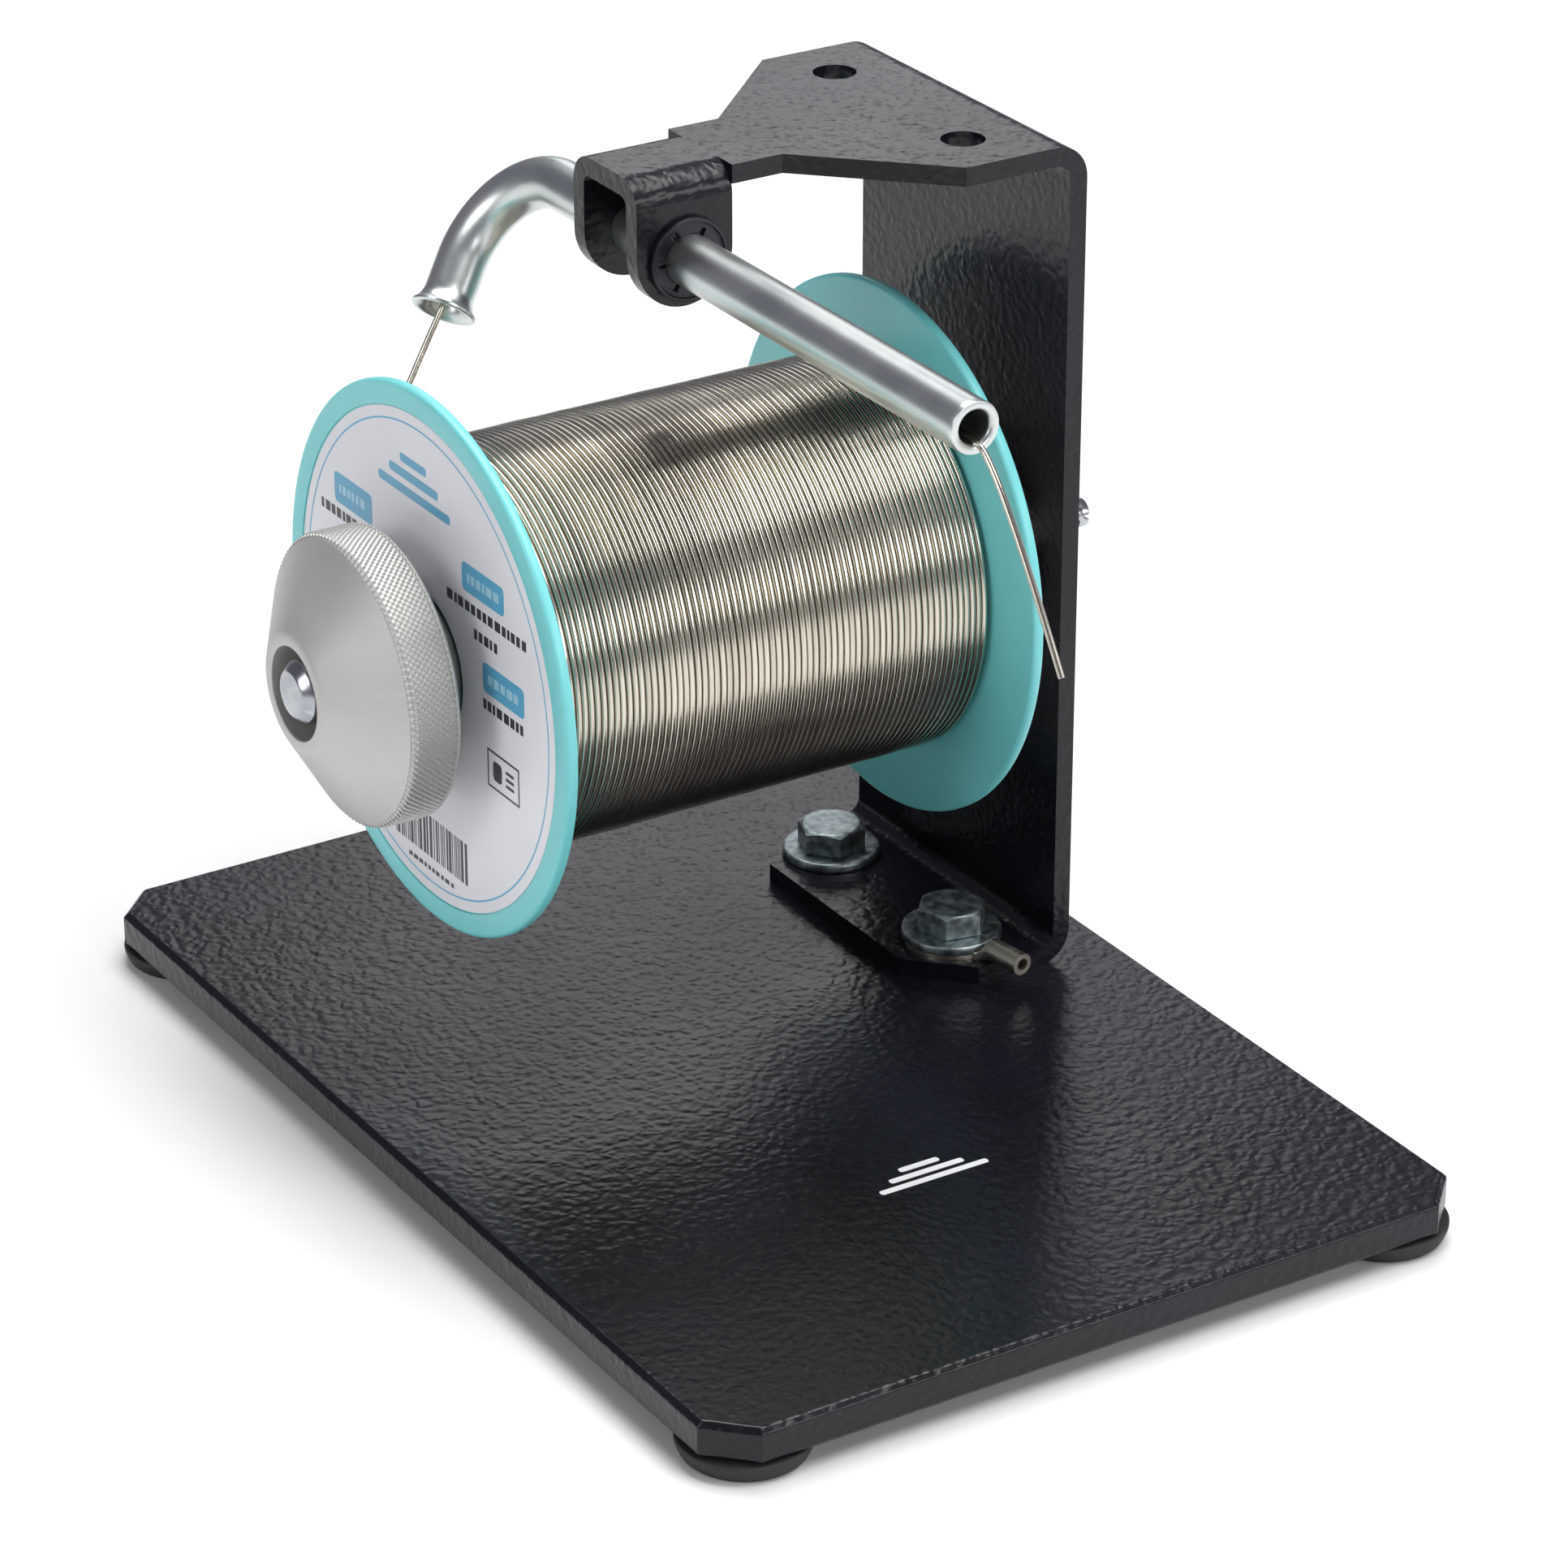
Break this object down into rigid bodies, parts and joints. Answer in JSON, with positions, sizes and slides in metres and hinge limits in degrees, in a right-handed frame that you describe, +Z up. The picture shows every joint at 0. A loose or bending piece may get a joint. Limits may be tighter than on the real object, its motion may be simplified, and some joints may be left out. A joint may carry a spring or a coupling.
{
  "type": "solder wire dispenser stand",
  "caption": "Bench stand that carries a spool of solder wire on a braked spindle, clamps it with a knurled cone knob and feeds the wire out through a swinging bent guide tube.",
  "frame": {"origin": "on the bench, under the middle of the base plate", "axes": "+Z up; +X along the spool's axis from the clamp knob to the bracket's wall; -Y to the front, where the wire comes out"},
  "size_m": [0.1331, 0.193, 0.146],
  "materials": {
    "powder_coat": "black hammered powder coat, glossy",
    "rubber": "matt",
    "zinc_grey": "dull grey-blue zinc plate",
    "zinc_bright": "bright zinc plate",
    "tinned": "tinned copper, satin",
    "turned_steel": "turned",
    "bronze": "sintered bronze",
    "satin_aluminium": "turned and anodised, satin",
    "nylon": "natural nylon",
    "black_steel": "blackened spring steel",
    "turquoise_plastic": "moulded, satin gloss",
    "solder": "drawn tin wire, bright",
    "label_paper": "coated white paper with blue and black print",
    "zinc_tube": "bright zinc plated tube"
  },
  "bodies": {
    "stand": {"base_plate": "powder_coat", "rubber_feet": "rubber", "bracket": "powder_coat", "bracket_bolts": "zinc_grey", "bolt_washers": "zinc_grey", "earth_lug": "tinned", "bearing_housing": "turned_steel", "housing_rivets": "zinc_bright", "front_bush": "bronze", "rear_bush": "bronze", "brake_lock_nut": "zinc_bright"},
    "spindle": {"axle": "zinc_bright", "rear_cone": "satin_aluminium", "thrust_washer": "nylon", "rear_washer": "zinc_bright", "axle_clip": "black_steel", "spool": "turquoise_plastic", "wire_winding": "solder", "front_label": "label_paper", "rear_label": "label_paper"},
    "front_cone": {"front_cone": "satin_aluminium"},
    "clamp_knob": {"clamp_knob": "satin_aluminium"},
    "brake_pad": {"brake_pad": "nylon"},
    "brake_screw": {"brake_screw": "zinc_bright"},
    "guide_tube": {"guide_tube": "zinc_tube", "tube_lock_washers": "black_steel", "feed_wire": "solder"}
  },
  "joints": [
    {"name": "spindle_turn", "type": "hinge", "parent": "stand", "child": "spindle", "pos_m": [0, 0.0247, 0.0741], "axis": [1, 0, 0], "continuous": true},
    {"name": "cone_slide", "type": "slide", "parent": "spindle", "child": "front_cone", "axis": [-1, 0, 0], "range_m": [0, 0.012]},
    {"name": "knob_turn", "type": "hinge", "parent": "front_cone", "child": "clamp_knob", "pos_m": [0, 0.0247, 0.0741], "axis": [-1, 0, 0], "range_deg": [0, 2880.1]},
    {"name": "pad_slide", "type": "slide", "parent": "stand", "child": "brake_pad", "axis": [1, 0, 0], "range_m": [0, 0.0024]},
    {"name": "brake_screw_turn", "type": "hinge", "parent": "brake_pad", "child": "brake_screw", "pos_m": [0, 0.0122, 0.0776], "axis": [1, 0, 0], "range_deg": [0, 1080.1]},
    {"name": "tube_swing", "type": "hinge", "parent": "stand", "child": "guide_tube", "pos_m": [-0.0022, 0.0247, 0.1329], "axis": [0, -1, 0], "range_deg": [0, 56]}
  ],
  "couplings": [
    {"joint": "knob_turn", "follows": "cone_slide", "rad_per_m": 4188.8},
    {"joint": "brake_screw_turn", "follows": "pad_slide", "rad_per_m": 7854}
  ]
}
